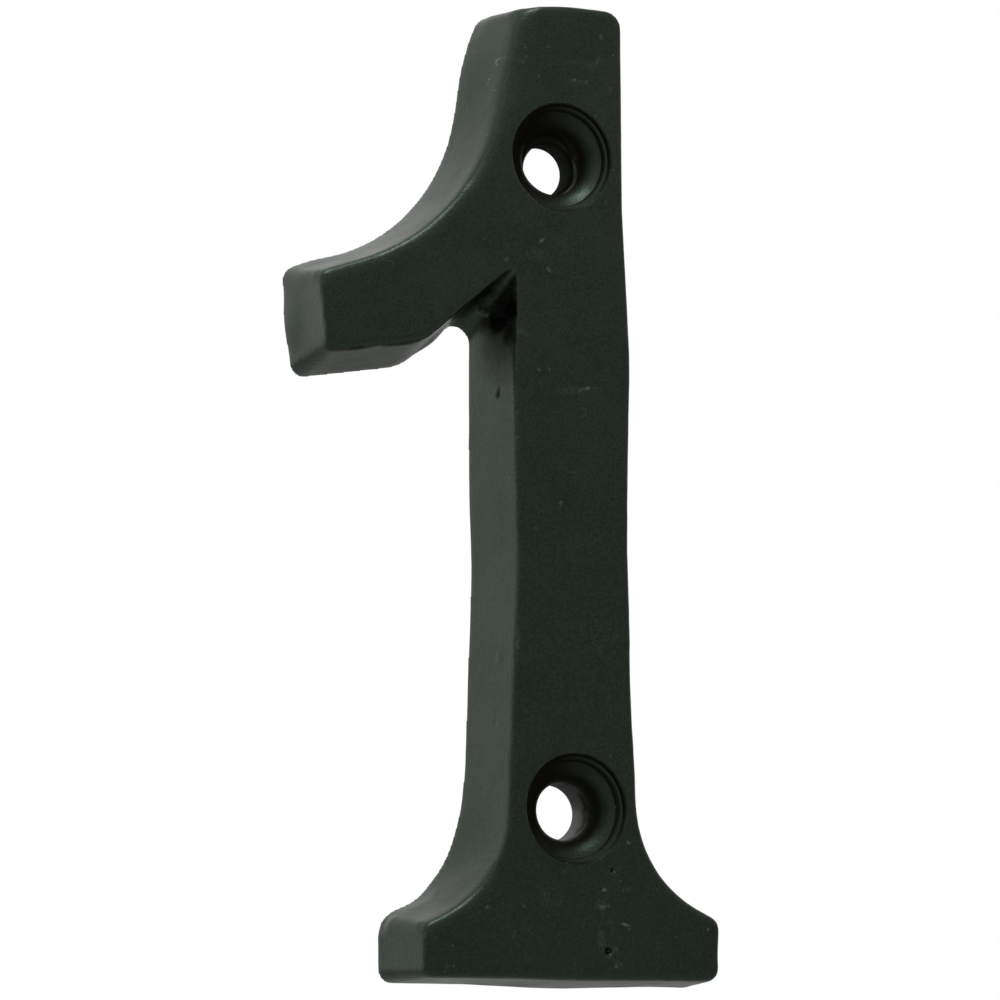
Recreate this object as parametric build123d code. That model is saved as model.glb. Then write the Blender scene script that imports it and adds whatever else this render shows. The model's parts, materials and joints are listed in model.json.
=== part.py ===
from build123d import *
import math
import os
from typing import NamedTuple

# House numeral: a slab-serif figure one, cast in one piece, with a flat back and two countersunk holes.
# Millimetres and degrees. X to the right, Z up, the back on the plane Y = 0, the face towards -Y.
# Heights are laid out from the sole. The finished casting is then lowered, so that the origin lies on
# the back, on the stem's axis, midway in height between the two countersinks.

# Whole figure
HEIGHT = 75.5
THICKNESS = 6.2

# Draft of the sides: the back is wider than the face
FLANK_DRAFT = 11.4
FLAG_TOP_DRAFT = 9.2
FLAG_TIP_DRAFT = 5.8
END_DRAFT = 2.0

# Stem, slightly waisted: reaches are measured from its axis, drops from the crown
STEM_WIDTH = 9.2
WAIST_DROP = 42.5
BELLY_DROP = 28.7
BELLY_SWELL = 0.25
SWELL_RADIUS = 60.0

# Head, above the flag
CROWN_LEFT_REACH = 4.05
CROWN_RIGHT_REACH = 4.45
CROWN_FALL = 0.3
CROWN_LEFT_RADIUS = 0.6
CROWN_RIGHT_RADIUS = 1.3
NECK_REACH = 4.4
NECK_DROP = 15.5
HEAD_BEND_REACH = 8.2
HEAD_BEND_DROP = 17.6
HEAD_CURVE_RADIUS = 17.3

# Flag, out to the left
FLAG_REACH = 21.1
FLAG_DROP = 22.05
FLAG_TIP_HEIGHT = 6.1
FLAG_TIP_LEAN = 0.6
FLAG_CORNER_RADIUS = 0.6
UNDERSIDE_BEND_REACH = 12.5
UNDERSIDE_BEND_RISE = 1.25
UNDERSIDE_RADIUS = 4.0
NOTCH_DROP = 20.3
NOTCH_RADIUS = 0.4

# Foot, with bracketed serifs
FOOT_LEFT_REACH = 12.7
FOOT_RIGHT_REACH = 12.15
TOE_LEFT_HEIGHT = 3.95
TOE_RIGHT_HEIGHT = 4.6
TOE_LEFT_RADIUS = 0.6
TOE_RIGHT_RADIUS = 1.1
ROOT_LEFT_REACH = 5.8
ROOT_LEFT_HEIGHT = 7.2
ROOT_RIGHT_REACH = 5.3
ROOT_RIGHT_HEIGHT = 8.0
BRACKET_RADIUS = 9.3

# Rounding: the face's outer edge, and how much larger the other roundings are at the back than at the face
FACE_EDGE_RADIUS = 0.3
CORNER_GROWTH = 0.5
BRACKET_GROWTH = 2.5
NOTCH_GROWTH = 1.0
HEAD_CURVE_GROWTH = -3.0

# Countersunk screw holes: the upper bore drifted below its countersink's axis when it was drilled
BORE_DIAMETER = 4.4
RIM_DIAMETER = 8.5
RIM_WALL = 0.35
LEDGE_WIDTH = 0.3
LEDGE_FALL = 0.2
CONE_DEPTH = 2.55
EXIT_CHAMFER = 0.9
UPPER_HOLE_DROP = 11.85
UPPER_HOLE_OFFSET = -0.75
UPPER_BORE_DRIFT = 0.5
LOWER_HOLE_RISE = 13.05
CUT_OVERRUN = 1.0

# Largest share of a side that the roundings at its two ends may take up
ROUNDED_SHARE = 0.88

UPPER_HOLE_HEIGHT = HEIGHT - UPPER_HOLE_DROP
ORIGIN_HEIGHT = (UPPER_HOLE_HEIGHT + LOWER_HOLE_RISE) / 2


class Corner(NamedTuple):
    """One corner of the face: its rounding, the draft of the side after it, and its growth at the back."""

    x: float
    z: float
    radius: float
    draft: float
    growth: float = 0.0


def face_corners() -> list[Corner]:
    """Gives the face's corners before rounding, clockwise from the foot's lower left."""
    stem_reach = STEM_WIDTH / 2
    belly_reach = stem_reach + BELLY_SWELL
    waist_height = HEIGHT - WAIST_DROP
    belly_height = HEIGHT - BELLY_DROP
    tip_top = HEIGHT - FLAG_DROP
    tip_bottom = tip_top - FLAG_TIP_HEIGHT
    return [
        Corner(-FOOT_LEFT_REACH, 0, TOE_LEFT_RADIUS, FLANK_DRAFT, CORNER_GROWTH),
        Corner(-FOOT_LEFT_REACH, TOE_LEFT_HEIGHT, TOE_LEFT_RADIUS, FLANK_DRAFT, CORNER_GROWTH),
        Corner(-ROOT_LEFT_REACH, ROOT_LEFT_HEIGHT, BRACKET_RADIUS, FLANK_DRAFT, BRACKET_GROWTH),
        Corner(-stem_reach, waist_height, SWELL_RADIUS, FLANK_DRAFT),
        Corner(-belly_reach, belly_height, SWELL_RADIUS, FLANK_DRAFT),
        Corner(-stem_reach, HEIGHT - NOTCH_DROP, NOTCH_RADIUS, FLANK_DRAFT, NOTCH_GROWTH),
        Corner(-UNDERSIDE_BEND_REACH, tip_bottom + UNDERSIDE_BEND_RISE, UNDERSIDE_RADIUS, FLANK_DRAFT),
        Corner(FLAG_TIP_LEAN - FLAG_REACH, tip_bottom, FLAG_CORNER_RADIUS, FLAG_TIP_DRAFT, CORNER_GROWTH),
        Corner(-FLAG_REACH, tip_top, FLAG_CORNER_RADIUS, FLAG_TOP_DRAFT, CORNER_GROWTH),
        Corner(-HEAD_BEND_REACH, HEIGHT - HEAD_BEND_DROP, HEAD_CURVE_RADIUS, FLANK_DRAFT, HEAD_CURVE_GROWTH),
        Corner(-CROWN_LEFT_REACH, HEIGHT - CROWN_FALL, CROWN_LEFT_RADIUS, END_DRAFT, CORNER_GROWTH),
        Corner(CROWN_RIGHT_REACH, HEIGHT, CROWN_RIGHT_RADIUS, FLANK_DRAFT, CORNER_GROWTH),
        Corner(NECK_REACH, HEIGHT - NECK_DROP, SWELL_RADIUS, FLANK_DRAFT),
        Corner(belly_reach, belly_height, SWELL_RADIUS, FLANK_DRAFT),
        Corner(stem_reach, waist_height, SWELL_RADIUS, FLANK_DRAFT),
        Corner(ROOT_RIGHT_REACH, ROOT_RIGHT_HEIGHT, BRACKET_RADIUS, FLANK_DRAFT, BRACKET_GROWTH),
        Corner(FOOT_RIGHT_REACH, TOE_RIGHT_HEIGHT, TOE_RIGHT_RADIUS, FLANK_DRAFT, CORNER_GROWTH),
        Corner(FOOT_RIGHT_REACH, 0, TOE_RIGHT_RADIUS, END_DRAFT, CORNER_GROWTH),
    ]


def section_points(corners: list[Corner], depth: float) -> list[Vector]:
    """Gives the corners of the section at a depth behind the face, each side moved out by its draft."""
    sides = []
    for corner, following in zip(corners, corners[1:] + corners[:1]):
        run = Vector(following.x - corner.x, following.z - corner.z).normalized()
        outward = Vector(-run.Y, run.X)
        shift = depth * math.tan(math.radians(corner.draft))
        sides.append((Vector(corner.x, corner.z) + outward * shift, run))
    points = []
    for (start, run), (next_start, next_run) in zip(sides[-1:] + sides[:-1], sides):
        along = (next_start - start).cross(next_run).Z / run.cross(next_run).Z
        points.append(start + run * along)
    return points


def rounding_radii(corners: list[Corner], points: list[Vector], growth_share: float) -> list[float]:
    """Gives each corner's rounding with a share of its growth, and less where a side is too short."""
    count = len(points)
    sides = [points[(i + 1) % count] - points[i] for i in range(count)]
    radii = [corner.radius + corner.growth * growth_share for corner in corners]
    turns = [math.radians(sides[i - 1].get_angle(sides[i])) for i in range(count)]
    tangents = [radius * math.tan(turn / 2) for radius, turn in zip(radii, turns)]
    needs = [tangents[i] + tangents[(i + 1) % count] for i in range(count)]
    rooms = [ROUNDED_SHARE * side.length / need for side, need in zip(sides, needs)]
    return [radii[i] * min(1, rooms[i - 1], rooms[i]) for i in range(count)]


def section(corners: list[Corner], depth: float) -> Sketch:
    """Makes the figure's rounded section that lies a depth behind the face."""
    points = section_points(corners, depth)
    radii = rounding_radii(corners, points, depth / THICKNESS)
    outline = FilletPolyline(*points, radius=radii, close=True)
    return Plane.XZ.offset(THICKNESS - depth) * make_face(outline)


def casting_blank() -> Part:
    """Makes the drafted figure with its face's edge rounded, without holes."""
    corners = face_corners()
    blank = loft([section(corners, 0), section(corners, THICKNESS)], ruled=True)
    face = blank.faces().sort_by(Axis.Y)[0]
    return fillet(face.outer_wire().edges(), FACE_EDGE_RADIUS)


def countersink() -> Part:
    """Makes the cutter of a countersink on the Y axis: rim wall, ledge and cone."""
    rim = RIM_DIAMETER / 2
    ledge_start = -THICKNESS + RIM_WALL
    cone_start = ledge_start + LEDGE_FALL
    cone_end = cone_start + CONE_DEPTH
    half_profile = Polyline(
        (0, -THICKNESS - CUT_OVERRUN),
        (rim, -THICKNESS - CUT_OVERRUN),
        (rim, ledge_start),
        (rim - LEDGE_WIDTH, cone_start),
        (BORE_DIAMETER / 2, cone_end),
        (0, cone_end),
        close=True,
    )
    return revolve(make_face(half_profile), Axis.Y)


def bore() -> Part:
    """Makes the cutter of a bore on the Y axis, from the face to its chamfered exit."""
    radius = BORE_DIAMETER / 2
    half_profile = Polyline(
        (0, -THICKNESS),
        (radius, -THICKNESS),
        (radius, -EXIT_CHAMFER),
        (radius + EXIT_CHAMFER + CUT_OVERRUN, CUT_OVERRUN),
        (0, CUT_OVERRUN),
        close=True,
    )
    return revolve(make_face(half_profile), Axis.Y)


def numeral() -> Part:
    """Makes the finished casting in its own frame."""
    upper_cutters = [countersink(), Pos(0, 0, -UPPER_BORE_DRIFT) * bore()]
    lower_cutters = [countersink(), bore()]
    cutters = [Pos(UPPER_HOLE_OFFSET, 0, UPPER_HOLE_HEIGHT) * cutter for cutter in upper_cutters]
    cutters += [Pos(0, 0, LOWER_HOLE_RISE) * cutter for cutter in lower_cutters]
    return Pos(0, 0, -ORIGIN_HEIGHT) * (casting_blank() - cutters)


os.makedirs("parts", exist_ok=True)
export_step(numeral(), "parts/house_number_one.step")
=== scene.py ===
"""House numeral: the figure one, cast in iron and painted satin black, in a plain white studio."""
import json
import logging
import math
from collections.abc import Callable
from dataclasses import dataclass, field
from enum import Enum
from functools import reduce

import bmesh
import bpy
from bpy.types import Material, Node, NodeOutputs, NodeSocket as Socket, Object, World
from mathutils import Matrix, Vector
from mathutils.kdtree import KDTree

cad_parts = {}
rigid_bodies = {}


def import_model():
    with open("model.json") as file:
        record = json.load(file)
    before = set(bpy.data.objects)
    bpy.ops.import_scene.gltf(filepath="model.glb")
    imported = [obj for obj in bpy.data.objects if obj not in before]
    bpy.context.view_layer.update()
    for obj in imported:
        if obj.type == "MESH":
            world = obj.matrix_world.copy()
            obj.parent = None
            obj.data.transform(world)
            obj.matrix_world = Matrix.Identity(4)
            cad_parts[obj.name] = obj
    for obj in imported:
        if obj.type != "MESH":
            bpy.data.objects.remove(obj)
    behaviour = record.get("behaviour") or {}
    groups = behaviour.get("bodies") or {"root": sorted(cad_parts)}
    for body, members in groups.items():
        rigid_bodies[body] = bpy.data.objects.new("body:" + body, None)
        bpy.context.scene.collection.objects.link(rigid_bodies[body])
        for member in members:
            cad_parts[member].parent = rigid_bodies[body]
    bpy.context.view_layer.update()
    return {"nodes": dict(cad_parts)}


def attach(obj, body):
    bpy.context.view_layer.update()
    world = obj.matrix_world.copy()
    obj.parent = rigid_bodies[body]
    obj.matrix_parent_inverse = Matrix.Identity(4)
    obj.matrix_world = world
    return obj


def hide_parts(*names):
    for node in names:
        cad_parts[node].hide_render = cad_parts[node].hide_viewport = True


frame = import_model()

NODE = "house_number_one"
BODY = "root"
MM = 0.001

# The plain casting's sizes that the flaws and holes are placed by, in millimetres and degrees
THICKNESS = 6.2
STEM_REACH = 4.6
FLANK_DRAFT = 11.4

# Short names for types: a pair, a place or a colour, and rings by radius and place
Pair = tuple[float, float]
Triple = tuple[float, float, float]
Rings = list[Pair]

log = logging.getLogger("house_numeral")


class Side(Enum):
    """A side of the casting that a flaw lies on."""

    FACE = "face"
    LEFT_FLANK = "left flank"


@dataclass(frozen=True)
class Flaw:
    """A pit or a lump in the cast skin, in millimetres.

    It lies along X on the face or Y on the flank, and along Z. It fades over its reach, and a pit's rise is
    below zero.
    """

    across: float
    up: float
    reach: float
    rise: float
    side: Side = Side.FACE

    def place(self) -> Vector:
        """Gives its place on the plain casting."""
        if self.side is Side.FACE:
            return Vector((self.across, -THICKNESS, self.up))
        spread = (self.across + THICKNESS) * math.tan(math.radians(FLANK_DRAFT))
        return Vector((-STEM_REACH - spread, self.across, self.up))


@dataclass(frozen=True)
class Swell:
    """A broad unevenness that the hand-made mould left in the outline, in millimetres.

    The skin near its place moves by its shift, and less and less over its reach along the skin.
    """

    place: Triple
    shift: Triple
    reach: float


@dataclass(frozen=True)
class RoughPatch:
    """A patch of crusted skin, in millimetres, that fades over its reach, with its grains' size and rise."""

    name: str
    place: Triple
    reach: float
    grain: float
    rise: float


@dataclass(frozen=True)
class SoftEdge:
    """A run of edge that came out of the mould blunt, in millimetres.

    The skin within its reach of places a step apart, from corner to corner, is smoothed some times.
    """

    corners: tuple[Triple, ...]
    reach: float
    passes: int
    step: float = 0.4

    def places(self) -> list[Vector]:
        """Gives points along the run."""
        places = []
        corners = [Vector(corner) for corner in self.corners]
        for start, end in zip(corners, corners[1:]):
            count = round((end - start).length / self.step)
            places += [start.lerp(end, number / count) for number in range(count + 1)]
        return places


@dataclass(frozen=True)
class PaleMark:
    """A pale mark on the face, a rub or a painted highlight, in millimetres and degrees.

    It has a middle along X and Z, half its length and width, a strength from zero to one, and a tilt, which
    is how far it rises to the right.
    """

    across: float
    up: float
    length: float
    width: float
    strength: float
    tilt: float = 0.0


@dataclass(frozen=True)
class Patch:
    """A patch off the face, in millimetres: a patch of painted shade, or a pale fleck.

    It has a middle, a reach along each axis and a strength from zero to one.
    """

    place: Triple
    reach: Triple
    strength: float


def select_only(piece: Object) -> None:
    """Makes one object the active and only selected one.

    Args:
        piece: The object to select.
    """
    bpy.ops.object.select_all(action="DESELECT")
    piece.select_set(True)
    bpy.context.view_layer.objects.active = piece


def edit(piece: Object, kind: str) -> bmesh.types.BMesh:
    """Opens an object in edit mode with nothing selected.

    Args:
        piece: The object to open.
        kind: The select mode, VERT, EDGE or FACE.

    Returns:
        The mesh that is being edited.
    """
    select_only(piece)
    bpy.ops.object.mode_set(mode="EDIT")
    bpy.ops.mesh.select_mode(type=kind)
    bpy.ops.mesh.select_all(action="DESELECT")
    mesh = bmesh.from_edit_mesh(piece.data)
    mesh.verts.ensure_lookup_table()
    mesh.faces.ensure_lookup_table()
    return mesh


def place_tree(places: list[Vector]) -> KDTree:
    """Makes a tree that finds the points near a place.

    Args:
        places: The points, in the order of their numbers.

    Returns:
        The tree.
    """
    tree = KDTree(len(places))
    for number, place in enumerate(places):
        tree.insert(place, number)
    tree.balance()
    return tree


def draw_rings(extrude: Callable, centre: Vector, axis: Vector, rings: Rings) -> None:
    """Draws what is selected along an axis, wider or narrower at each ring.

    Args:
        extrude: The operator that draws it out.
        centre: A point of the axis, at the place zero.
        axis: The axis' direction, along X, Y or Z.
        rings: The radius and the place of each ring, the first one being drawn already.
    """
    for (radius, place), (next_radius, next_place) in zip(rings, rings[1:]):
        extrude(TRANSFORM_OT_translate={"value": axis * (next_place - place), "orient_type": "GLOBAL"})
        bpy.ops.transform.resize(
            value=[1 if part else next_radius / radius for part in axis],
            orient_type="GLOBAL",
            center_override=centre + axis * next_place,
        )


@dataclass
class NodeBench:
    """The nodes of a material or a world, with short ways to add and join them."""

    owner: Material | World
    coordinates: str = "Object"

    def __post_init__(self) -> None:
        """Turns the nodes on and gets the places that patterns follow, whole and as X, Y and Z."""
        self.owner.use_nodes = True
        self.places = self.add("ShaderNodeTexCoord").outputs[self.coordinates]
        self.parts = self.add("ShaderNodeSeparateXYZ", Vector=self.places).outputs

    def add(self, kind: str, **inputs: Socket | float) -> Node:
        """Adds a node.

        Args:
            kind: Blender's name of the node's type.
            inputs: Its inputs by name, each an output to join or a fixed value.

        Returns:
            The node.
        """
        node = self.owner.node_tree.nodes.new(kind)
        for name, value in inputs.items():
            self.feed(node.inputs[name.replace("_", " ")], value)
        return node

    def feed(self, target: Socket, value: Socket | Vector | float) -> None:
        """Joins an output to an input, or gives the input a fixed value."""
        if isinstance(value, Socket):
            self.owner.node_tree.links.new(value, target)
        else:
            target.default_value = value

    def noise(self, scale: float, detail: float, grit: float = 0.5) -> Socket:
        """Adds a noise pattern.

        Args:
            scale: How many waves it has in a metre.
            detail: How many finer layers it has.
            grit: How strong each finer layer is beside the one before it.

        Returns:
            The pattern's level.
        """
        looks = {"Scale": scale, "Detail": detail, "Roughness": grit}
        return self.add("ShaderNodeTexNoise", Vector=self.places, **looks).outputs["Fac"]

    def work_out(self, kind: str, operation: str, *values: Socket | Vector | float) -> NodeOutputs:
        """Works out a value or a vector.

        Args:
            kind: Blender's name of the node's type.
            operation: Blender's name of the operation.
            values: What it works with, each an output or a fixed value.

        Returns:
            The results, of which one is used.
        """
        node = self.add(kind)
        node.operation = operation
        for target, value in zip(node.inputs, values):
            self.feed(target, value)
        return node.outputs

    def reckon(self, operation: str, *values: Socket | float) -> Socket:
        """Works out a value."""
        return self.work_out("ShaderNodeMath", operation, *values)["Value"]

    def vector(self, operation: str, *values: Socket | Vector) -> NodeOutputs:
        """Works out a vector, or a value from vectors."""
        return self.work_out("ShaderNodeVectorMath", operation, *values)

    def offset(self, centre: Vector) -> Socket:
        """Gives the way from a centre to the places."""
        return self.vector("SUBTRACT", self.places, centre)["Vector"]

    def along(self, way: Socket, direction: Vector) -> Socket:
        """Measures how far a way goes in a direction."""
        return self.vector("DOT_PRODUCT", way, direction)["Value"]

    def distance(self, way: Socket, scale: Vector) -> Socket:
        """Measures how long a way is, with each axis weighed by a scale."""
        weighed = self.vector("MULTIPLY", way, scale)["Vector"]
        return self.vector("LENGTH", weighed)["Value"]

    def most(self, levels: list[Socket]) -> Socket:
        """Gives the largest of some levels."""
        return reduce(lambda first, second: self.reckon("MAXIMUM", first, second), levels)

    def product(self, levels: list[Socket]) -> Socket:
        """Multiplies some levels."""
        return reduce(lambda first, second: self.reckon("MULTIPLY", first, second), levels)

    def spread(self, level: Socket, span: Pair, result: Pair) -> Socket:
        """Maps one span of levels onto another and holds it there.

        Args:
            level: The level to map.
            span: The levels at which the result begins and ends.
            result: The result at those two levels.

        Returns:
            The mapped level.
        """
        ends = dict(zip(("From_Min", "From_Max", "To_Min", "To_Max"), (*span, *result)))
        return self.add("ShaderNodeMapRange", Value=level, **ends).outputs["Result"]

    def cover(self, share: Socket, under: Socket, colour: Triple) -> Socket:
        """Lays a plain colour over another one.

        Args:
            share: How much of the plain colour shows.
            under: The colour under it.
            colour: The plain colour.

        Returns:
            The mixed colour.
        """
        mix = self.add("ShaderNodeMix")
        mix.data_type = "RGBA"
        for name, value in (("Factor", share), ("A", under), ("B", (*colour, 1.0))):
            self.feed(mix.inputs[name], value)
        return mix.outputs["Result"]


@dataclass
class PaintLayers(NodeBench):
    """The nodes of a dirty paint with painted shade and highlights, each a level from zero to one at a
    place.

    The first pairs are places along Y, in millimetres, between which the dirt and painted shade off the face
    begin and end and the pale marks of the face end. In a countersink, shade is painted on the wall except
    on the side that lies one way from the hole's middle, which faces the light. The scales are the waves in
    a metre of ragged borders, specks, curls of lint, tufts of lint and pale marks, rubs and painted
    highlights.
    """

    face_fade: Pair = (-6.12, -6.0)
    back_fade: Pair = (-0.8, -0.2)
    pale_mark_depth: Pair = (-5.8, -5.2)
    lit_way: Triple = (0.94, 0.0, -0.34)
    rag_scale: float = 1100.0
    speck_scale: float = 1350.0
    lint_scale: float = 420.0
    tuft_scale: float = 520.0
    pale_mark_scale: float = 2600.0

    def by_depth(self, span: Pair, result: Pair) -> Socket:
        """Maps a span of places along Y, in millimetres, onto a span of levels."""
        return self.spread(self.parts["Y"], (span[0] * MM, span[1] * MM), result)

    def off_face(self, levels: list[Socket]) -> Socket:
        """Takes the largest of some levels of dirt and painted shade, and none of it on the face or the
        back.

        Args:
            levels: The levels.

        Returns:
            The level that is left.
        """
        sunk = self.by_depth(self.face_fade, (0.0, 1.0))
        return self.product([self.most(levels), sunk, self.by_depth(self.back_fade, (1.0, 0.0))])

    def patch_levels(self, patches: tuple[Patch, ...]) -> list[Socket]:
        """Finds how much of each patch, painted shade or pale fleck, shows at a place.

        Args:
            patches: The patches.

        Returns:
            A level for each patch.
        """
        ragged = self.spread(self.noise(self.rag_scale, 4.0), (0.25, 0.75), (-0.25, 0.25))
        levels = []
        for patch in patches:
            reach = Vector([1 / (part * MM) for part in patch.reach])
            distance = self.distance(self.offset(Vector(patch.place) * MM), reach)
            distance = self.reckon("ADD", distance, ragged)
            levels.append(self.spread(distance, (0.3, 1.0), (patch.strength, 0.0)))
        return levels

    def hole_grime_and_shade(self, hole: "Countersink") -> Socket:
        """Finds how much dirt and painted shade lie in a hole: at its edge, step and bore, least on its lit
        side.

        Args:
            hole: The hole.

        Returns:
            The level.
        """
        # Painted shade in the rings, most at the top, and on the wall away from the light; partly real dirt
        # in the bore
        rim = hole.rim * MM
        way = self.offset(Vector((hole.across, 0, hole.up)) * MM)
        radius = self.distance(way, Vector((1, 0, 1)))
        across = self.along(way, Vector(self.lit_way))
        wall = self.spread(across, (-0.05 * rim, 0.45 * rim), (0.85, hole.grime_and_shade))
        mouth = self.most([wall, self.spread(radius, (0.45 * rim, 0.58 * rim), (0.0, 0.9))])
        bore = self.product([mouth, self.spread(radius, (0.6 * rim, 0.8 * rim), (1.0, 0.0))])
        edge = self.spread(radius, (0.945 * rim, 0.96 * rim), (0.0, 1.0))
        off_step = self.reckon("ABSOLUTE", self.reckon("SUBTRACT", radius, hole.step_radius() * MM))
        step = self.spread(off_step, (0.06 * MM, 0.12 * MM), (0.9, 0.0))
        upward = self.spread(self.along(way, Vector((0, 0, 1))), (-0.8 * rim, 0.0), (0.2, 1.0))
        rings = self.product([self.most([edge, step]), upward])
        side = self.spread(across, (-0.6 * rim, 0.8 * rim), (1.0, 0.0))
        inside = self.spread(radius, (rim, 1.03 * rim), (1.0, 0.0))
        return self.product([self.most([bore, rings, side]), inside])

    def specks(self) -> Socket:
        """Adds scattered specks of dust, few of them large or bright, most on the head and foot."""
        cells = self.add("ShaderNodeTexVoronoi", Vector=self.places, Scale=self.speck_scale).outputs
        chance = self.add("ShaderNodeSeparateColor", Color=cells["Color"]).outputs
        reach = self.spread(chance["Red"], (0.60, 1.0), (0.001, 0.17))
        height = self.reckon("ABSOLUTE", self.parts["Z"])
        reach = self.product([reach, self.spread(height, (0.012, 0.028), (0.45, 1.0))])
        nearness = self.reckon("DIVIDE", cells["Distance"], reach)
        shape = self.spread(nearness, (0.35, 1.0), (1.0, 0.0))
        return self.product([shape, self.spread(chance["Green"], (0.2, 1.0), (0.10, 0.9))])

    def lint(self) -> Socket:
        """Adds a few short curled fibres."""
        waves = self.noise(self.lint_scale, 1.0)
        off_line = self.reckon("ABSOLUTE", self.reckon("SUBTRACT", waves, 0.5))
        line = self.spread(off_line, (0.003, 0.008), (0.22, 0.0))
        return self.product([line, self.spread(self.noise(self.tuft_scale, 0.0), (0.73, 0.78), (0.0, 1.0))])

    def rubs_and_highlights(self) -> Socket:
        """Adds the pale rubs and painted highlights on the face, broken up by its grain."""
        levels = []
        for mark in RUBS_AND_HIGHLIGHTS:
            turn = math.radians(mark.tilt)
            way = self.offset(Vector((mark.across, 0, mark.up)) * MM)
            run = self.along(way, Vector((math.cos(turn), 0, math.sin(turn))) / (mark.length * MM))
            rise = self.along(way, Vector((-math.sin(turn), 0, math.cos(turn))) / (mark.width * MM))
            square = self.reckon("ADD", self.reckon("POWER", run, 2.0), self.reckon("POWER", rise, 2.0))
            levels.append(self.spread(square, (0.05, 1.0), (mark.strength, 0.0)))
        broken = self.spread(self.noise(self.pale_mark_scale, 4.0, 0.7), (0.40, 0.60), (0.0, 1.0))
        return self.product([self.most(levels), broken, self.by_depth(self.pale_mark_depth, (1.0, 0.0))])


@dataclass(frozen=True)
class SatinBlackPaint:
    """Satin black paint over a cast skin, with dust, lint, rubs and dirt, and with painted shade and light.

    Attributes:
        tones: The paint's darker and paler tone, reached at the ends of the mottle's tone_span.
        painted_top_light: How much of the mottle's range the paint gets paler by per metre up, a painted
            light.
        dust_and_highlight: The colour of the dust, the lint, the rubs and the painted highlights.
        black_shade: The colour of the black painted shade in the notch, under the flag and in a pit.
        gloss: The strength of the paint's reflections and of those where dirt and painted shade lie.
        roughness: The roughness where the paint lies smooth and where it lies dull.
        rougher_in_dirt_and_shade: How much rougher the paint is where dirt and painted shade lie.
        skin_rise: The height in millimetres of the cast skin's grain.

    The scales are the waves in a metre of the mottle, the paint's grain, the sheen and the cast skin.
    """

    tones: tuple[Triple, Triple] = ((0.0036, 0.0040, 0.0033), (0.0168, 0.0184, 0.0153))
    tone_span: Pair = (0.22, 0.78)
    mottle_scale: float = 170.0
    grain_scale: float = 5200.0
    painted_top_light: float = 4.5
    dust_and_highlight: Triple = (0.15, 0.16, 0.14)
    # Brown of the dirt in the holes, which also paints their shade
    grime_and_shade: Triple = (0.0070, 0.0058, 0.0038)
    black_shade: Triple = (0.0014, 0.0013, 0.0008)
    gloss_tint: Triple = (0.72, 1.0, 0.72)
    gloss: Pair = (0.5, 0.03)
    roughness: Pair = (0.30, 0.40)
    sheen_scale: float = 240.0
    rougher_in_dirt_and_shade: float = 0.2
    skin_scale: float = 5600.0
    skin_strength: float = 0.45
    skin_rise: float = 0.05

    def material(self, name: str, holes: "tuple[Countersink, ...]") -> Material:
        """Makes the paint's material.

        Args:
            name: The material's name.
            holes: The holes that dirt and painted shade lie in.

        Returns:
            The material.
        """
        paint = bpy.data.materials.new(name)
        layers = PaintLayers(paint)
        inputs = paint.node_tree.nodes["Principled BSDF"].inputs
        inputs["Specular Tint"].default_value = (*self.gloss_tint, 1.0)
        # Dirt and painted shade in the holes, and black painted shade in the notch, under the flag and in a
        # flank pit
        grime_and_shade = layers.off_face([layers.hole_grime_and_shade(hole) for hole in holes] + layers.patch_levels(HOLE_SHADE_PATCHES))
        black_shade_level = layers.off_face(layers.patch_levels(BLACK_SHADE_PATCHES))
        dirt_and_shade = layers.most([grime_and_shade, black_shade_level])
        flecks = layers.patch_levels(FLECKS)
        # Pale dust, lint and rubs, and painted highlights on the stem's left edge and on the neck
        pale_dirt_and_highlights = layers.most([layers.specks(), layers.lint(), layers.rubs_and_highlights(), *flecks])
        pale_dirt_and_highlights = layers.product([pale_dirt_and_highlights, layers.spread(dirt_and_shade, (0.0, 1.0), (1.0, 0.0))])
        tone = layers.cover(grime_and_shade, self.tone(layers), self.grime_and_shade)
        tone = layers.cover(black_shade_level, tone, self.black_shade)
        layers.feed(inputs["Base Color"], layers.cover(pale_dirt_and_highlights, tone, self.dust_and_highlight))
        sheen = layers.spread(layers.noise(self.sheen_scale, 4.0), (0.3, 0.7), self.roughness)
        rougher = layers.reckon("MULTIPLY", dirt_and_shade, self.rougher_in_dirt_and_shade)
        layers.feed(inputs["Roughness"], layers.reckon("ADD", sheen, rougher))
        # Reflections are dimmed where dirt and painted shade lie
        layers.feed(inputs["Specular IOR Level"], layers.spread(dirt_and_shade, (0.0, 1.0), self.gloss))
        skin = {"Strength": self.skin_strength, "Distance": self.skin_rise * MM}
        bump = layers.add("ShaderNodeBump", Height=layers.noise(self.skin_scale, 2.0, 0.6), **skin)
        layers.feed(inputs["Normal"], bump.outputs["Normal"])
        return paint

    def tone(self, layers: PaintLayers) -> Socket:
        """Mottles the paint, and paints it paler towards the head as light from above.

        Args:
            layers: The material's nodes.

        Returns:
            The paint's colour.
        """
        # Painted light: the paint gets paler higher up
        height = layers.reckon("MULTIPLY", layers.parts["Z"], self.painted_top_light)
        grain = layers.spread(layers.noise(self.grain_scale, 2.0), (0.25, 0.75), (-0.45, 0.45))
        mottle = layers.noise(self.mottle_scale, 7.0, 0.8)
        mottle = layers.reckon("ADD", mottle, layers.reckon("ADD", height, grain))
        ramp = layers.add("ShaderNodeValToRGB", Fac=mottle)
        for end, position, colour in zip(ramp.color_ramp.elements, self.tone_span, self.tones):
            end.position = position
            end.color = (*colour, 1.0)
        return ramp.outputs["Color"]


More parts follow.
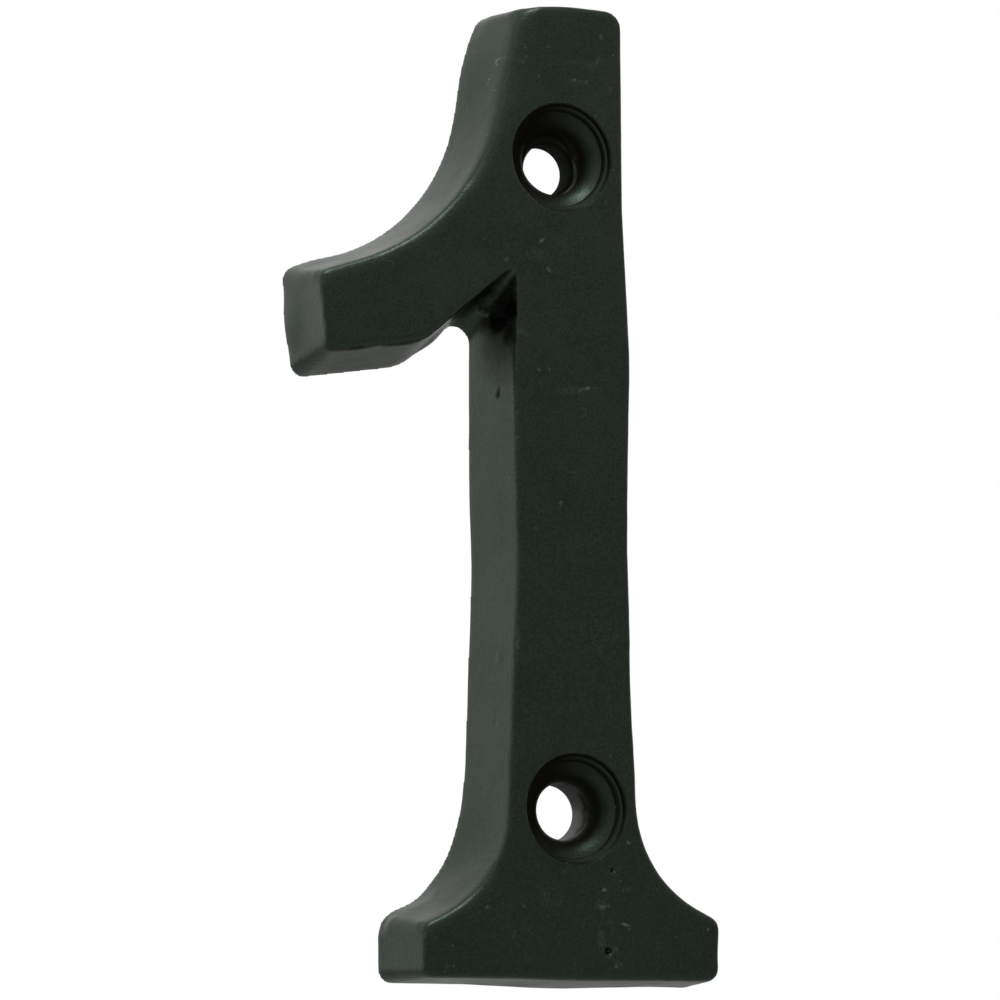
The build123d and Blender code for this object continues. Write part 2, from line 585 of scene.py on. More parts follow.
@dataclass(frozen=True)
class Countersink:
    """One countersunk hole, in millimetres and degrees, with the turned cutters that open it.

    From the face inwards it has a steep edge, a ledge, a step, a cone that curves towards the bore, and
    the bore with its chamfered exit at the back. The cone and the bore slipped off the rim's centre.

    Attributes:
        across: The rim's place along X.
        up: The rim's height along Z.
        cone_slip: How far the cone lies off the rim's centre, along X and Z, and bore_slip the bore.
        grime_and_shade: How much dirt and painted shade lie in the bore on its lit side, from zero to one.
        ridges: How many ridges the drill left in the bore.
    """

    name: str
    across: float
    up: float
    cone_slip: Pair
    bore_slip: Pair
    grime_and_shade: float
    ridges: int = 0
    rim: float = 4.25
    lip: float = 0.06
    edge_width: float = 0.18
    edge_depth: float = 0.38
    ledge_width: float = 0.24
    ledge_depth: float = 0.08
    ledge_overrun: float = 0.35
    step_width: float = 0.10
    step_depth: float = 0.30
    cone_first_slope: float = 31.0
    cone_last_slope: float = 76.0
    cone_steps: int = 16
    bore: float = 2.2
    ridge_height: float = 0.20
    ridge_shares: Pair = (0.5, 0.8)
    chamfer: float = 0.9
    overrun: float = 0.6
    sides: int = 160

    def step_radius(self) -> float:
        """Gives the radius of the step's middle."""
        return self.rim - self.edge_width - self.ledge_width - self.step_width / 2

    def rim_rings(self) -> Rings:
        """Gives the rings of the edge and the ledge along Y, from the front."""
        front = -THICKNESS
        edge = self.rim - self.edge_width
        ledge_run = self.ledge_width + self.ledge_overrun
        ledge_fall = self.ledge_depth * ledge_run / self.ledge_width
        return [
            (self.rim + 2 * self.lip, front - self.overrun),
            (self.rim + self.lip, front - self.lip / 2),
            (self.rim, front + self.lip),
            (edge, front + self.edge_depth),
            (edge - ledge_run, front + self.edge_depth + ledge_fall),
        ]

    def cone_rings(self) -> Rings:
        """Gives the rings of the step and the cone along Y, from the front."""
        front = -THICKNESS
        radius = self.rim - self.edge_width - self.ledge_width
        depth = self.edge_depth + self.ledge_depth
        rings = [(radius, front - self.overrun), (radius, front + depth)]
        radius -= self.step_width
        depth += self.step_depth
        rings.append((radius, front + depth))
        first = math.radians(self.cone_first_slope)
        last = math.radians(self.cone_last_slope)
        bend = (radius - self.bore) / (math.sin(last) - math.sin(first))
        for ring in range(1, self.cone_steps + 1):
            slope = first + (last - first) * ring / self.cone_steps
            ring_radius = radius - bend * (math.sin(slope) - math.sin(first))
            ring_depth = depth + bend * (math.cos(first) - math.cos(slope))
            rings.append((ring_radius, front + ring_depth))
        return rings

    def bore_rings(self, start: float) -> Rings:
        """Gives the rings of the bore and its exit along Y.

        Args:
            start: The place along Y at which the bore leaves the cone.

        Returns:
            The rings, from the front.
        """
        rings = [(self.bore, start)]
        pitch = (-self.chamfer - start) / max(self.ridges, 1)
        crest, foot = self.ridge_shares
        for ridge in range(self.ridges):
            rings.append((self.bore - self.ridge_height, start + (ridge + crest) * pitch))
            rings.append((self.bore, start + (ridge + foot) * pitch))
        rings.append((self.bore, -self.chamfer))
        rings.append((self.bore + self.chamfer + self.overrun, self.overrun))
        return rings

    def cutters(self) -> list[Object]:
        """Makes the cutters of the rim, the cone and the bore, the last two in one if they line up."""
        cone = self.cone_rings()
        bore = self.bore_rings(cone[-1][1])
        runs = [("rim", (0.0, 0.0), self.rim_rings())]
        if self.cone_slip == self.bore_slip:
            runs.append(("shaft", self.bore_slip, cone + bore[1:]))
        else:
            runs.append(("cone", self.cone_slip, cone))
            runs.append(("bore", self.bore_slip, [(self.bore, -THICKNESS), *bore]))
        return [self.turned(f"{self.name}_{name}_cutter", slip, rings) for name, slip, rings in runs]

    def turned(self, name: str, slip: Pair, rings: Rings) -> Object:
        """Turns a cutter by drawing a disc along its axis, wider or narrower at each ring.

        Args:
            name: The cutter's name.
            slip: How far its axis lies off the rim's centre, along X and Z.
            rings: Its rings along Y, from the front.

        Returns:
            The cutter.
        """
        across = self.across + slip[0]
        up = self.up + slip[1]
        first_radius, first_depth = rings[0]
        bpy.ops.object.select_all(action="DESELECT")
        bpy.ops.mesh.primitive_circle_add(
            vertices=self.sides,
            radius=first_radius,
            fill_type="NGON",
            location=(across, first_depth, up),
            rotation=(math.radians(90), 0, 0),
        )
        cutter = bpy.context.object
        cutter.name = name
        bpy.ops.object.transform_apply(location=True, rotation=True, scale=True)
        edit(cutter, "FACE")
        bpy.ops.mesh.select_all(action="SELECT")
        draw_rings(bpy.ops.mesh.extrude_region_move, Vector((across, 0, up)), Vector((0, 1, 0)), rings)
        bpy.ops.mesh.select_all(action="SELECT")
        bpy.ops.mesh.normals_make_consistent(inside=False)
        bpy.ops.object.mode_set(mode="OBJECT")
        return cutter


@dataclass
class Casting:
    """The numeral: a copy of the frame's solid with its cast skin, flaws, holes and paint.

    Sizes are in millimetres and degrees, and the copy is shaped at a thousand times its size.
    """

    paint: SatinBlackPaint = field(default_factory=SatinBlackPaint)
    holes: tuple[Countersink, ...] = (
        Countersink("upper", -0.75, 25.3, (-0.06, -0.04), bore_slip=(0.08, -0.5), grime_and_shade=0.2, ridges=4),
        Countersink(
            "lower", 0.05, -25.3, (-0.12, -0.04), bore_slip=(-0.12, -0.04), grime_and_shade=0.2, cone_first_slope=22.0
        ),
    )
    waves: tuple[tuple[str, float, int, float], ...] = (
        ("long_waves", 9.0, 0, 0.09),
        ("short_waves", 2.6, 1, 0.055),
        ("skin", 0.8, 1, 0.012),
    )
    merge_distance: float = 0.0005
    octree_depth: int = 9
    octree_scale: float = 0.66
    smoothing: float = 0.5
    even_passes: int = 2
    rim_slack: float = 0.1
    edge_depth: float = 0.8
    edge_slants: Pair = (0.3, 0.95)
    edge_passes: int = 3
    crust_layers: int = 2
    small_reach: float = 0.8
    fine_share: float = 1.25
    flaw_cuts: int = 2
    patch_cuts: int = 1
    crease: float = 30.0
    piece: Object = field(init=False)

    def build(self) -> Object:
        """Makes the casting.

        Returns:
            The finished piece, at its real size.
        """
        self.copy_node()
        self.plug_holes()
        self.even_out()
        self.ease_edges()
        self.blunt_edges()
        for name, grain, layers, rise in self.waves:
            self.displace(name, grain, layers, rise)
        self.swell()
        self.roughen()
        self.strike_flaws()
        self.open_holes()
        self.dress()
        return self.piece

    def copy_node(self) -> None:
        """Copies the frame's solid, so large that a millimetre is one unit, and joins its faces."""
        select_only(frame["nodes"][NODE])
        bpy.ops.object.duplicate()
        self.piece = bpy.context.object
        self.piece.name = "numeral_casting"
        self.piece.parent = None
        for key in list(self.piece.keys()):
            del self.piece[key]
        self.piece.scale = (1 / MM, 1 / MM, 1 / MM)
        bpy.ops.object.transform_apply(location=False, rotation=False, scale=True)
        edit(self.piece, "VERT")
        bpy.ops.mesh.select_all(action="SELECT")
        bpy.ops.mesh.remove_doubles(threshold=self.merge_distance)
        bpy.ops.object.mode_set(mode="OBJECT")

    def plug_holes(self) -> None:
        """Takes out the walls of the holes and closes the skin over them, for the cutters to open again."""
        mesh = edit(self.piece, "FACE")
        for face in mesh.faces:
            face.select = any(self.is_wall(face, hole) for hole in self.holes)
        bmesh.update_edit_mesh(self.piece.data)
        bpy.ops.mesh.delete(type="FACE")
        bpy.ops.mesh.select_all(action="SELECT")
        bpy.ops.mesh.fill_holes(sides=0)
        bpy.ops.mesh.select_all(action="SELECT")
        bpy.ops.mesh.normals_make_consistent(inside=False)
        bpy.ops.object.mode_set(mode="OBJECT")

    def is_wall(self, face: bmesh.types.BMFace, hole: Countersink) -> bool:
        """Tells whether a face is part of a hole's wall, with all its corners within the rim."""
        reach = hole.rim + self.rim_slack
        return all(math.hypot(v.co.x - hole.across, v.co.z - hole.up) < reach for v in face.verts)

    def modify(self, kind: str, **settings: object) -> None:
        """Adds a modifier to the casting and applies it.

        Args:
            kind: Blender's name of the modifier's type.
            settings: Its settings by name.
        """
        select_only(self.piece)
        modifier = self.piece.modifiers.new(kind.title(), kind)
        for name, value in settings.items():
            setattr(modifier, name, value)
        bpy.ops.object.modifier_apply(modifier=modifier.name)

    def even_out(self) -> None:
        """Covers the skin with small even faces that keep its edges."""
        cells = {"octree_depth": self.octree_depth, "scale": self.octree_scale}
        self.modify("REMESH", mode="SHARP", use_remove_disconnected=False, **cells)
        self.modify("SMOOTH", factor=self.smoothing, iterations=self.even_passes)

    def ease_edges(self) -> None:
        """Evens out the rounded edge all round the face."""
        mesh = edit(self.piece, "VERT")
        low, high = self.edge_slants
        for vertex in mesh.verts:
            if vertex.co.y < self.edge_depth - THICKNESS and low < -vertex.normal.y < high:
                vertex.select_set(True)
        bmesh.update_edit_mesh(self.piece.data)
        bpy.ops.mesh.select_more()
        bpy.ops.mesh.vertices_smooth(factor=self.smoothing, repeat=self.edge_passes)
        bpy.ops.object.mode_set(mode="OBJECT")

    def blunt_edges(self) -> None:
        """Blunts the stretches of edge that came soft out of the mould."""
        for edge in SOFT_EDGES:
            mesh = edit(self.piece, "VERT")
            tree = place_tree([vertex.co for vertex in mesh.verts])
            for place in edge.places():
                for _, number, _ in tree.find_range(place, edge.reach):
                    mesh.verts[number].select_set(True)
            bmesh.update_edit_mesh(self.piece.data)
            bpy.ops.mesh.vertices_smooth(factor=self.smoothing, repeat=edge.passes)
            bpy.ops.object.mode_set(mode="OBJECT")

    def displace(self, name: str, grain: float, layers: int, rise: float, group: str = "") -> None:
        """Gives the skin the soft unevenness of a sand casting.

        Args:
            name: The name of the pattern of clouds that the skin follows.
            grain: The size of its clouds.
            layers: How many finer layers it has.
            rise: How far the skin moves.
            group: The vertex group that moves, or none for the whole skin.
        """
        clouds = bpy.data.textures.new(name, "CLOUDS")
        clouds.noise_scale = grain
        clouds.noise_depth = layers
        clouds.noise_basis = "ORIGINAL_PERLIN"
        pattern = {"texture": clouds, "texture_coords": "LOCAL", "mid_level": 0.5}
        self.modify("DISPLACE", vertex_group=group, strength=rise, **pattern)

    def swell(self) -> None:
        """Moves the outline where the mould was uneven."""
        self.pull([(swell.place, swell.shift, swell.reach) for swell in SWELLS], connected=True)

    def roughen(self) -> None:
        """Raises the grains of the crusted patches."""
        self.refine([(Vector(patch.place), patch.reach) for patch in ROUGH_PATCHES], self.patch_cuts)
        tree = place_tree([vertex.co for vertex in self.piece.data.vertices])
        for patch in ROUGH_PATCHES:
            group = self.piece.vertex_groups.new(name=patch.name)
            for _, number, distance in tree.find_range(patch.place, patch.reach):
                group.add([number], 1 - (distance / patch.reach) ** 2, "REPLACE")
            self.displace(patch.name, patch.grain, self.crust_layers, patch.rise, group.name)

    def strike_flaws(self) -> None:
        """Presses the pits and raises the lumps, on finer faces where they are small."""
        small = [flaw for flaw in FLAWS if flaw.reach < self.small_reach]
        self.refine([(flaw.place(), flaw.reach) for flaw in small], self.flaw_cuts)
        spots = [self.piece.closest_point_on_mesh(flaw.place()) for flaw in FLAWS]
        pulls = [(spot[1], spot[2] * flaw.rise, flaw.reach) for flaw, spot in zip(FLAWS, spots)]
        self.pull(pulls, connected=False)

    def refine(self, spots: list[tuple[Vector, float]], cuts: int) -> None:
        """Divides the faces around some places.

        Args:
            spots: The places, and how far each reaches.
            cuts: How many cuts each side of a face gets.
        """
        mesh = edit(self.piece, "FACE")
        tree = place_tree([face.calc_center_median() for face in mesh.faces])
        for place, reach in spots:
            for _, number, _ in tree.find_range(place, self.fine_share * reach):
                mesh.faces[number].select_set(True)
        bmesh.update_edit_mesh(self.piece.data)
        bpy.ops.mesh.subdivide(number_cuts=cuts)
        bpy.ops.object.mode_set(mode="OBJECT")

    def pull(self, pulls: list[tuple[Triple | Vector, Triple | Vector, float]], connected: bool) -> None:
        """Moves points of the skin one by one, and the skin around each of them less and less.

        Args:
            pulls: A place near each point, how far it moves, and the distance at which the skin stays.
            connected: Whether the distance is measured along the skin.
        """
        mesh = edit(self.piece, "VERT")
        tree = place_tree([vertex.co for vertex in mesh.verts])
        for place, shift, reach in pulls:
            bpy.ops.mesh.select_all(action="DESELECT")
            mesh = bmesh.from_edit_mesh(self.piece.data)
            mesh.verts.ensure_lookup_table()
            mesh.verts[tree.find(place)[1]].select_set(True)
            bmesh.update_edit_mesh(self.piece.data)
            bpy.ops.transform.translate(
                value=shift,
                orient_type="GLOBAL",
                use_proportional_edit=True,
                use_proportional_connected=connected,
                proportional_edit_falloff="SMOOTH",
                proportional_size=reach,
            )
        bpy.ops.object.mode_set(mode="OBJECT")

    def open_holes(self) -> None:
        """Cuts the countersinks and the bores."""
        for hole in self.holes:
            for cutter in hole.cutters():
                self.modify("BOOLEAN", operation="DIFFERENCE", solver="EXACT", object=cutter)
                bpy.data.objects.remove(cutter)

    def dress(self) -> None:
        """Brings the casting to its real size, paints it and fixes it to its body."""
        piece = self.piece
        select_only(piece)
        piece.vertex_groups.clear()
        piece.scale = (MM, MM, MM)
        bpy.ops.object.transform_apply(location=False, rotation=False, scale=True)
        bpy.ops.object.shade_smooth_by_angle(angle=math.radians(self.crease))
        piece.data.materials.clear()
        piece.data.materials.append(self.paint.material("satin_black_paint", self.holes))
        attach(piece, BODY)
        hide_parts(NODE)


SOFT_EDGES = (
    # Left edge of the head, blunter towards the crown, and the crown's corner
    SoftEdge(((-4.25, -6.0, 35.6), (-5.5, -6.0, 30.9)), 1.6, 36),
    SoftEdge(((-4.3, -6.0, 35.4), (-6.3, -6.0, 27.6)), 1.4, 24),
    SoftEdge(((-5.3, -6.0, 31.5), (-8.2, -6.0, 23.5)), 1.1, 12),
    SoftEdge(((-4.3, -6.1, 36.4), (-3.2, -6.1, 37.0)), 0.7, 6),
    # Neck and flag's upper edge, and the lower corner of its tip
    SoftEdge(((-7.0, -6.0, 25.8), (-11.0, -6.0, 20.2), (-14.6, -6.0, 17.4), (-20.6, -6.0, 15.1)), 1.0, 14),
    SoftEdge(((-20.4, -5.6, 9.1), (-20.8, -2.5, 8.5)), 1.1, 8),
    # Foot's left bracket
    SoftEdge(((-12.3, -6.0, -34.3), (-9.2, -6.0, -32.6), (-6.9, -6.0, -30.4)), 1.0, 14),
)

SWELLS = (
    # Head, crown and flag
    Swell((-6.3, -0.3, 33.0), (-0.28, 0, 0), 5.0),
    Swell((-0.3, -5.9, 37.1), (0, 0, 0.28), 5.5),
    Swell((-3.5, -0.3, 37.3), (0, 0, 0.12), 5.0),
    Swell((-19.5, -0.3, 16.1), (0, 0, 0.22), 3.5),
    Swell((-21.7, -0.3, 11.8), (-0.2, 0, 0), 3.0),
    Swell((-9.3, -0.3, 11.3), (0.14, 0, -0.22), 2.4),
    Swell((-5.3, -0.3, 36.5), (0.08, 0, -0.12), 1.8),
    # Stem
    Swell((-5.9, -0.3, -1.0), (-0.2, 0, 0), 9.0),
    Swell((-6.3, -0.3, -26.5), (-0.25, 0, 0), 5.0),
    Swell((4.6, -6.0, 12.0), (0.13, 0, 0), 14.0),
    Swell((4.7, -6.0, -16.0), (-0.13, 0, 0), 8.0),
    # Foot
    Swell((-10.5, -0.3, -32.2), (0.1, 0, -0.15), 2.5),
    Swell((-13.9, -0.3, -33.6), (0.25, 0, -0.1), 1.5),
    Swell((1.0, -0.5, -38.5), (0, 0, -0.22), 9.0),
    Swell((12.2, -6.0, -36.5), (-0.1, 0, 0), 2.5),
)

ROUGH_PATCHES = (
    RoughPatch("notch_crust", (-5.9, -2.2, 14.8), 1.9, 0.6, 0.28),
    RoughPatch("foot_crust", (2.7, -6.2, -34.2), 2.4, 0.6, 0.1),
)

RUBS_AND_HIGHLIGHTS = (
    # Stem: a rub across it, with flecks
    PaleMark(1.16, 7.28, 0.5, 0.16, 0.75, 8.0),
    PaleMark(0.6, 7.05, 0.18, 0.16, 0.6),
    PaleMark(-0.4, 7.15, 1.6, 0.5, 0.1),
    PaleMark(1.9, 7.2, 0.7, 0.35, 0.1),
    PaleMark(-2.91, 8.47, 0.2, 0.18, 0.45),
    PaleMark(-2.05, 8.63, 0.36, 0.12, 0.4, -55.0),
    PaleMark(-1.14, -1.77, 0.18, 0.22, 0.6),
    PaleMark(2.1, -12.2, 2.0, 2.2, 0.04),
    # Stem's left edge: a painted highlight along it
    PaleMark(-4.96, 6.3, 0.12, 1.6, 0.3),
    PaleMark(-4.8, -0.8, 0.1, 2.0, 0.16),
    PaleMark(-4.82, -12.8, 0.12, 1.6, 0.3),
    # Foot: a broken line down it
    PaleMark(2.29, -31.48, 0.22, 0.18, 0.75),
    PaleMark(2.23, -32.8, 0.6, 0.2, 0.6, 14.0),
    PaleMark(2.0, -32.45, 0.7, 0.4, 0.18, 25.0),
    PaleMark(4.11, -34.12, 0.55, 0.15, 0.6, -17.0),
    PaleMark(2.06, -35.0, 0.4, 1.3, 0.2),
    PaleMark(3.21, -35.9, 0.28, 0.14, 0.45, -12.0),
    PaleMark(2.74, -36.62, 0.35, 0.13, 0.3, 25.0),
    PaleMark(3.42, -37.25, 0.42, 0.17, 0.75, 16.0),
    PaleMark(4.24, -31.44, 0.5, 0.25, 0.2),
    PaleMark(-2.2, -31.8, 1.4, 1.6, 0.06),
    PaleMark(-7.53, -32.97, 0.32, 0.2, 0.35, 15.0),
    PaleMark(-4.45, -32.86, 0.22, 0.16, 0.35),
    PaleMark(-5.32, -34.95, 0.45, 0.12, 0.35, 60.0),
    PaleMark(-2.75, -32.02, 0.2, 0.3, 0.25),
    PaleMark(4.37, -27.8, 0.18, 0.2, 0.6),
    PaleMark(11.14, -34.34, 0.18, 0.22, 0.45),
    # Head and neck: flecks and pale clouds; the broad one on the neck is a painted highlight over its dent
    PaleMark(-4.09, 32.6, 0.22, 0.18, 0.4),
    PaleMark(0.34, 31.45, 0.16, 0.16, 0.6),
    PaleMark(1.43, 31.35, 0.18, 0.18, 0.6),
    PaleMark(-2.71, 31.57, 0.22, 0.16, 0.3, 30.0),
    PaleMark(3.49, 30.89, 0.16, 0.45, 0.3, 20.0),
    PaleMark(-1.89, 33.91, 0.18, 0.14, 0.4),
    PaleMark(2.38, 33.03, 0.45, 0.3, 0.25, 60.0),
    PaleMark(2.66, 35.03, 0.2, 0.25, 0.55),
    PaleMark(0.5, 31.4, 0.9, 0.25, 0.12),
    PaleMark(-2.63, 18.57, 0.5, 0.16, 0.55, 35.0),
    # Painted highlight over the neck's dent
    PaleMark(-3.2, 17.6, 1.4, 0.6, 0.1),
    PaleMark(-5.62, 16.97, 0.3, 0.25, 0.35, -20.0),
    PaleMark(-1.97, 16.34, 0.4, 0.16, 0.4, -45.0),
)

BLACK_SHADE_PATCHES = (
    # Painted shade on the stem's flank under the notch, and in the pit in it
    Patch((-5.0, -5.4, 13.2), (1.6, 1.6, 2.3), 1.0),
    Patch((-5.3, -4.0, 12.3), (1.6, 2.3, 1.5), 1.0),
    Patch((-5.0, -5.2, 11.4), (1.6, 1.4, 2.1), 0.9),
    Patch((-5.3, -3.5, 11.0), (1.6, 3.5, 4.0), 0.35),
    Patch((-5.0, -3.9, 6.8), (0.6, 0.6, 0.6), 0.6),
    # Painted shade on the flag's underside, beside the notch and along the face
    Patch((-7.0, -4.3, 14.4), (2.6, 3.3, 2.0), 0.95),
    Patch((-9.2, -5.6, 13.0), (2.2, 1.5, 1.9), 0.8),
    Patch((-14.2, -5.75, 9.85), (2.9, 0.5, 0.7), 0.8),
    Patch((-18.0, -5.75, 9.35), (2.9, 0.5, 0.6), 0.8),
    Patch((-15.5, -3.0, 9.0), (9.0, 5.0, 3.0), 0.15),
    Patch((-10.6, -2.5, 10.8), (3.2, 5.0, 2.8), 0.5),
)

HOLE_SHADE_PATCHES = (
    # Painted shade in the upper hole: lower left and top of its cone, and the mouth of its bore
    Patch((-2.5, -5.0, 22.3), (2.0, 1.7, 1.5), 0.75),
    Patch((-1.2, -5.0, 28.3), (2.4, 1.7, 1.5), 0.5),
    Patch((-0.67, -3.25, 24.8), (5.0, 0.7, 5.0), 0.8),
    # Painted shade in the lower hole: lower left and top of its cone, and the mouth of its bore
    Patch((-1.8, -5.0, -28.4), (2.0, 1.7, 1.5), 0.8),
    Patch((-0.6, -5.0, -22.3), (2.4, 1.7, 1.5), 0.7),
    Patch((-0.07, -3.3, -25.34), (5.0, 1.2, 5.0), 1.0),
)

FLECKS = (
    # Head's left flank: a curl of lint
    Patch((-5.17, -5.66, 32.94), (0.3, 0.36, 0.08), 0.4),
    Patch((-5.28, -5.14, 33.0), (0.3, 0.36, 0.08), 0.45),
    Patch((-5.4, -4.57, 33.0), (0.3, 0.28, 0.11), 0.6),
    Patch((-5.46, -4.25, 32.87), (0.3, 0.17, 0.2), 0.7),
    Patch((-5.42, -4.4, 32.54), (0.3, 0.19, 0.16), 0.6),
    # Head's left flank: specks
    Patch((-6.08, -1.25, 34.22), (0.3, 0.17, 0.13), 0.8),
    Patch((-5.86, -3.81, 31.46), (0.3, 0.15, 0.12), 0.6),
    Patch((-5.9, -4.8, 30.45), (0.3, 0.15, 0.12), 0.5),
)

FLAWS = (
    # Foot: two pits and the crust between them
    Flaw(2.6, -36.14, 0.38, -0.42),
    Flaw(2.86, -36.1, 0.3, -0.14),
    Flaw(3.26, -36.29, 0.4, 0.12),
    Flaw(3.03, -29.89, 0.28, -0.26),
    Flaw(2.46, -31.72, 0.45, 0.08),
    Flaw(2.11, -32.95, 0.5, 0.08),
    Flaw(2.94, -34.16, 0.5, 0.09),
    Flaw(3.42, -37.21, 0.45, 0.1),
    Flaw(-2.45, -32.19, 0.45, -0.07),
    # Stem: a lump and a nick on its left edge, a scar across it, pits and slight waves
    Flaw(-4.48, 11.11, 0.6, 0.1),
    Flaw(-3.97, 10.99, 0.45, 0.05),
    Flaw(-4.69, 5.35, 0.4, -0.06),
    Flaw(-1.36, 7.08, 0.7, -0.035),
    Flaw(-0.3, 7.2, 0.7, -0.035),
    Flaw(0.8, 7.3, 0.7, -0.035),
    Flaw(1.89, 7.41, 0.7, -0.035),
    Flaw(-0.74, 0.42, 1.4, 0.04),
    Flaw(-3.23, -3.65, 0.32, -0.12),
    Flaw(2.13, -12.25, 2.2, 0.06),
    # Head and flag: shallow dents
    Flaw(-2.98, 17.69, 1.0, -0.06),
    Flaw(-1.0, 19.38, 1.0, -0.06),
    Flaw(0.4, 33.19, 0.75, -0.06),
    Flaw(1.69, 32.98, 0.75, -0.06),
    Flaw(-7.81, 17.53, 1.1, -0.06),
    # Left flank: a pit with a tail, a low lump, a faint line and grains under the notch
    Flaw(-3.92, 6.79, 0.45, -0.08, Side.LEFT_FLANK),
    Flaw(-4.15, 7.2, 0.36, -0.04, Side.LEFT_FLANK),
    Flaw(-3.96, -13.69, 0.7, 0.035, Side.LEFT_FLANK),
    Flaw(-3.78, -18.61, 0.6, -0.025, Side.LEFT_FLANK),
    Flaw(-1.66, 14.21, 0.45, 0.2, Side.LEFT_FLANK),
    Flaw(-2.31, 13.41, 0.45, 0.16, Side.LEFT_FLANK),
)


@dataclass(frozen=True)
class StudioWhite:
    """Matt white paper: a plain floor that turns into a bright wall between two heights, in metres."""

    paper: Triple = (0.80, 0.81, 0.79)
    roughness: float = 0.9
    wall_rise: Pair = (-0.24, -0.10)

    def material(self, name: str) -> Material:
        """Makes the paper's material.

        Args:
            name: The material's name.

        Returns:
            The material.
        """
        paper = bpy.data.materials.new(name)
        bench = NodeBench(paper)
        nodes = paper.node_tree.nodes
        shader = nodes["Principled BSDF"]
        shader.inputs["Base Color"].default_value = (*self.paper, 1.0)
        shader.inputs["Roughness"].default_value = self.roughness
        path = bench.add("ShaderNodeLightPath")
        kinds = ("Is Camera Ray", "Is Glossy Ray", "Is Transmission Ray")
        seen = bench.most([path.outputs[kind] for kind in kinds])
        rise = bench.spread(bench.parts["Z"], self.wall_rise, (0.0, 1.0))
        mix = bench.add("ShaderNodeMixShader", Fac=bench.product([seen, rise]))
        bench.feed(mix.inputs[1], shader.outputs["BSDF"])
        bench.feed(mix.inputs[2], bench.add("ShaderNodeEmission").outputs["Emission"])
        bench.feed(nodes["Material Output"].inputs["Surface"], mix.outputs["Shader"])
        return paper


@dataclass(frozen=True)
class Softbox:
    """A square lamp that faces the numeral. Its place and size are in metres, its power in watts."""

    name: str
    place: Triple
    size: float
    power: float
    colour: Triple = (1.0, 1.0, 1.0)

    def hang(self) -> None:
        """Hangs the lamp."""
        turn = (-Vector(self.place)).to_track_quat("-Z", "Y").to_euler()
        bpy.ops.object.light_add(type="AREA", location=self.place, rotation=turn)
        lamp = bpy.context.object
        lamp.name = self.name
        lamp.data.name = self.name
        lamp.data.size = self.size
        lamp.data.energy = self.power
        lamp.data.color = self.colour


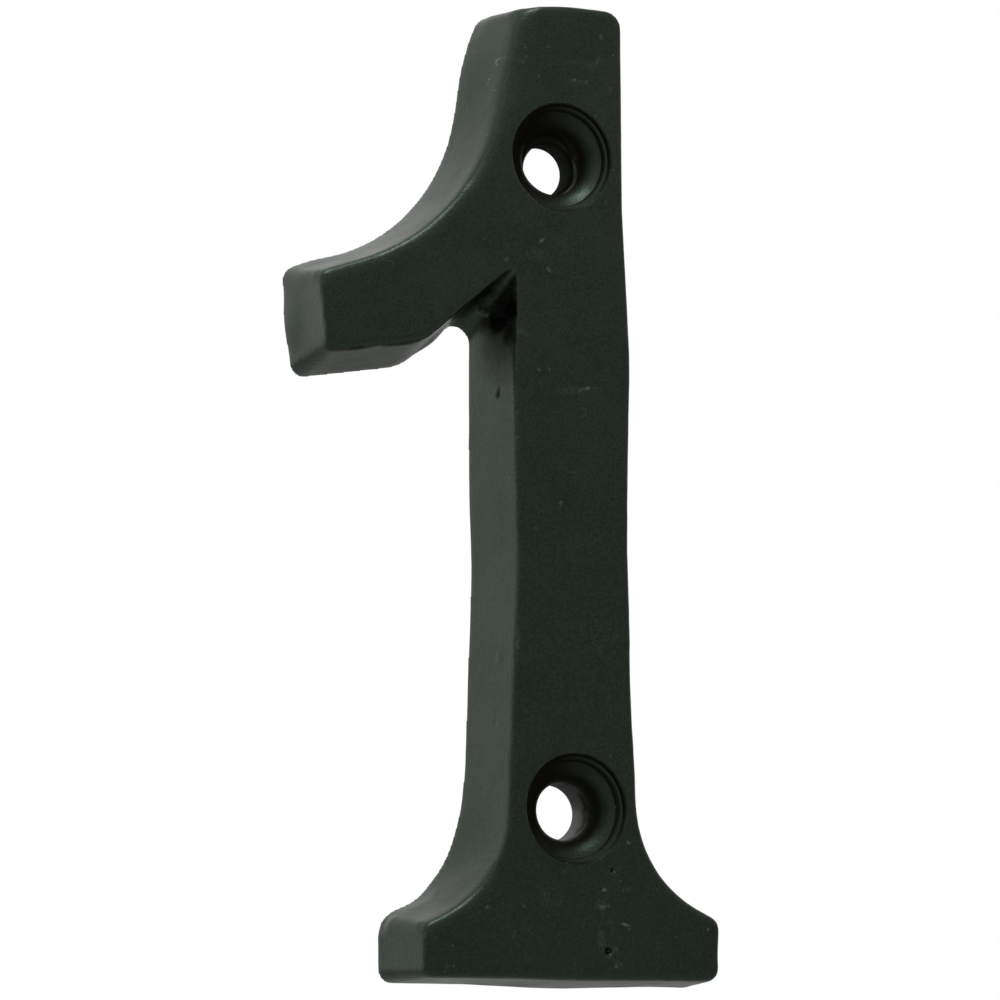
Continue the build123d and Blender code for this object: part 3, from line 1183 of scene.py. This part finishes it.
@dataclass
class Studio:
    """The floor and wall, the lamps, the air and the camera. Metres and degrees, the lens in millimetres."""

    white: StudioWhite = field(default_factory=StudioWhite)
    lamps: tuple[Softbox, ...] = (
        Softbox("overhead_softbox", (-0.061, -0.102, 0.375), 0.14, 0.70, (0.84, 0.88, 1.0)),
        Softbox("left_softbox", (-1.00, -0.30, 0.45), 0.8, 0.8),
    )
    air_levels: Pair = (0.11, 0.61)
    air_span: Pair = (-0.35, 0.70)
    floor_height: float = -0.25
    floor_radius: float = 1.7
    floor_sides: int = 120
    cove_radius: float = 0.15
    cove_steps: int = 8
    wall_top: float = 2.6
    open_front: float = 102.0
    camera_place: Triple = (-0.19598, -0.42109, -0.05885)
    camera_turn: Triple = (97.132, 0.366, -24.527)
    lens: float = 216.0
    sensor: float = 36.0
    clip: Pair = (0.01, 20.0)

    def build(self) -> Object:
        """Sets up the studio.

        Returns:
            The sweep of floor and wall.
        """
        sweep = self.sweep()
        for lamp in self.lamps:
            lamp.hang()
        self.light_air()
        self.place_camera()
        bpy.context.scene.view_settings.view_transform = "Standard"
        return sweep

    def sweep(self) -> Object:
        """Draws the floor's rim up into a wall that is open towards the front.

        Returns:
            The sweep.
        """
        bpy.ops.object.select_all(action="DESELECT")
        bpy.ops.mesh.primitive_circle_add(
            vertices=self.floor_sides,
            radius=self.floor_radius,
            fill_type="NGON",
            location=(0, 0, self.floor_height),
        )
        sweep = bpy.context.object
        sweep.name = "studio_sweep"
        bpy.ops.object.transform_apply(location=True, rotation=True, scale=True)
        mesh = edit(sweep, "EDGE")
        for edge in mesh.edges:
            edge.select_set(True)
        bmesh.update_edit_mesh(sweep.data)
        draw_rings(bpy.ops.mesh.extrude_edges_move, Vector(), Vector((0, 0, 1)), self.cove_rings())
        bpy.ops.mesh.select_mode(type="FACE")
        bpy.ops.mesh.select_all(action="DESELECT")
        mesh = bmesh.from_edit_mesh(sweep.data)
        for face in mesh.faces:
            centre = face.calc_center_median()
            off_front = math.degrees(abs(math.atan2(centre.x, -centre.y)))
            face.select = centre.length > self.floor_radius and off_front < self.open_front
        bmesh.update_edit_mesh(sweep.data)
        bpy.ops.mesh.delete(type="FACE")
        bpy.ops.object.mode_set(mode="OBJECT")
        bpy.ops.object.shade_smooth()
        sweep.data.materials.append(self.white.material("studio_white"))
        return sweep

    def cove_rings(self) -> Rings:
        """Gives the rings of the floor, the cove and the wall along Z."""
        rings = [(self.floor_radius, self.floor_height)]
        for step in range(1, self.cove_steps + 1):
            turn = math.radians(90 * step / self.cove_steps)
            radius = self.floor_radius + self.cove_radius * math.sin(turn)
            rings.append((radius, self.floor_height + self.cove_radius * (1 - math.cos(turn))))
        rings.append((self.floor_radius + self.cove_radius, self.wall_top))
        return rings

    def light_air(self) -> None:
        """Fills the room with grey light, brighter from above than from below."""
        world = bpy.data.worlds.new("studio_air")
        bpy.context.scene.world = world
        bench = NodeBench(world, "Generated")
        level = bench.spread(bench.parts["Z"], self.air_span, self.air_levels)
        background = world.node_tree.nodes["Background"]
        background.inputs["Color"].default_value = (1.0, 1.0, 1.0, 1.0)
        bench.feed(background.inputs["Strength"], level)

    def place_camera(self) -> None:
        """Places the camera at the picture's viewpoint."""
        bpy.ops.object.camera_add(
            location=self.camera_place, rotation=[math.radians(turn) for turn in self.camera_turn]
        )
        camera = bpy.context.object
        camera.name = "picture_camera"
        camera.data.lens = self.lens
        camera.data.sensor_width = self.sensor
        camera.data.clip_start, camera.data.clip_end = self.clip
        bpy.context.scene.camera = camera


def main() -> None:
    """Builds the casting and the studio, and reports each piece."""
    logging.basicConfig(level=logging.INFO, format="%(name)s: %(message)s")
    piece = Casting().build()
    log.info("%s: %d triangles", piece.name, sum(face.loop_total - 2 for face in piece.data.polygons))
    sweep = Studio().build()
    log.info("%s: %d faces", sweep.name, len(sweep.data.polygons))


if __name__ == "__main__":
    main()
